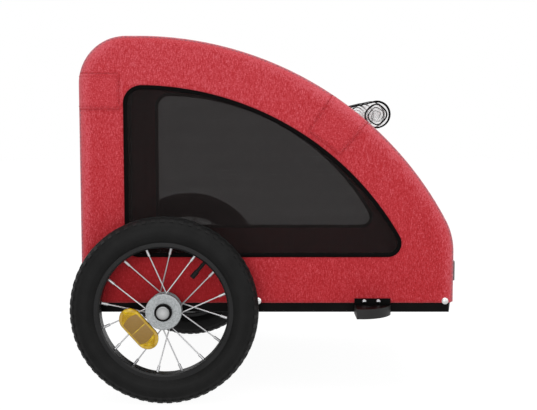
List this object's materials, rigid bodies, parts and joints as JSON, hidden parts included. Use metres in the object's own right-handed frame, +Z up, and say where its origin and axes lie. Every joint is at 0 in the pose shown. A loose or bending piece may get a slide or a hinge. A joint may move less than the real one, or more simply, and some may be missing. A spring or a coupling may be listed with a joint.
{
  "type": "dog bike trailer",
  "caption": "Two-wheeled dog bike trailer: rounded wedge cabin of red cloth on a tube frame, net windows, zipped rear door, rolled clear rain cover and quick-release spoked wheels.",
  "frame": {"origin": "on the ground under the middle of the overall box", "axes": "+X forward along the trailer, +Y to its left, +Z up"},
  "size_m": [0.629, 0.5472, 0.5928],
  "materials": {
    "frame_black": "satin black paint",
    "black_plastic": "matte black",
    "steel": "bright plated",
    "red_cloth": "heathered woven cloth",
    "net": "open net",
    "black_binding": "woven tape",
    "zip_metal": "black enamel",
    "clear_vinyl": "clear soft sheet",
    "white_reflector": "prismatic lens",
    "red_reflector": "prismatic lens",
    "tyre": "matte rubber",
    "rim_black": "satin black",
    "spoke_steel": "plated",
    "hub_grey": "satin",
    "amber_reflector": "prismatic lens",
    "axle_black": "black",
    "chrome": "polished"
  },
  "bodies": {
    "trailer": {"right_side_rail": "frame_black", "left_side_rail": "frame_black", "front_cross_rail": "frame_black", "rear_cross_rail": "frame_black", "right_hoop": "frame_black", "left_hoop": "frame_black", "rear_top_crossbar": "frame_black", "front_top_crossbar": "frame_black", "tow_bracket": "frame_black", "axle_cross_tube": "frame_black", "rail_end_plugs": "black_plastic", "hoop_sockets": "black_plastic", "crossbar_clamps": "black_plastic", "floor_board": "black_plastic", "axle_sleeves": "steel", "frame_screws": "steel", "cover_screws": "steel", "tow_bracket_bolts": "steel", "right_side_panel": "red_cloth", "left_side_panel": "red_cloth", "roof_panel": "red_cloth", "rear_panel": "red_cloth", "front_panel": "red_cloth", "right_frame_flaps": "red_cloth", "left_frame_flaps": "red_cloth", "right_window_net": "net", "left_window_net": "net", "front_net": "net", "right_window_binding": "black_binding", "left_window_binding": "black_binding", "front_net_binding": "black_binding", "rain_cover_binding": "black_binding", "roll_straps": "black_binding", "zip_tape": "black_binding", "rain_cover_roll": "clear_vinyl", "front_reflectors": "white_reflector", "rear_reflectors": "red_reflector"},
    "rear_door": {"rear_door": "red_cloth", "rear_door_net": "net", "rear_door_binding": "black_binding"},
    "right_axle": {"right_quick_release_axle": "axle_black"},
    "right_button": {"right_release_button": "chrome"},
    "right_wheel": {"right_tyre": "tyre", "right_inner_tube": "tyre", "right_rim": "rim_black", "right_spokes": "spoke_steel", "right_hub": "hub_grey", "right_hub_bearings": "spoke_steel", "right_wheel_reflector": "amber_reflector"},
    "right_zip_slider": {"right_zip_slider": "zip_metal"},
    "left_axle": {"left_quick_release_axle": "axle_black"},
    "left_button": {"left_release_button": "chrome"},
    "left_wheel": {"left_tyre": "tyre", "left_inner_tube": "tyre", "left_rim": "rim_black", "left_spokes": "spoke_steel", "left_hub": "hub_grey", "left_hub_bearings": "spoke_steel", "left_wheel_reflector": "amber_reflector"},
    "left_zip_slider": {"left_zip_slider": "zip_metal"}
  },
  "joints": [
    {"name": "rear_door_hinge", "type": "hinge", "parent": "trailer", "child": "rear_door", "pos_m": [-0.3, 0, 0.4809], "axis": [0, 1, 0], "range_deg": [0, 90]},
    {"name": "right_axle_release", "type": "slide", "parent": "trailer", "child": "right_axle", "axis": [0, -1, 0], "range_m": [0, 0.12]},
    {"name": "right_wheel_spin", "type": "hinge", "parent": "right_axle", "child": "right_wheel", "pos_m": [-0.1621, -0.25, 0.1525], "axis": [0, 1, 0], "continuous": true},
    {"name": "right_button_press", "type": "slide", "parent": "right_axle", "child": "right_button", "axis": [0, 1, 0], "range_m": [0, 0.0038], "stiffness_N_per_m": 600},
    {"name": "right_zip_pull", "type": "slide", "parent": "trailer", "child": "right_zip_slider", "axis": [0, 0, 1], "range_m": [0, 0.22]},
    {"name": "left_axle_release", "type": "slide", "parent": "trailer", "child": "left_axle", "axis": [0, 1, 0], "range_m": [0, 0.12]},
    {"name": "left_wheel_spin", "type": "hinge", "parent": "left_axle", "child": "left_wheel", "pos_m": [-0.1621, 0.25, 0.1525], "axis": [0, 1, 0], "continuous": true},
    {"name": "left_button_press", "type": "slide", "parent": "left_axle", "child": "left_button", "axis": [0, -1, 0], "range_m": [0, 0.0038], "stiffness_N_per_m": 600},
    {"name": "left_zip_pull", "type": "slide", "parent": "trailer", "child": "left_zip_slider", "axis": [0, 0, 1], "range_m": [0, 0.22]}
  ]
}
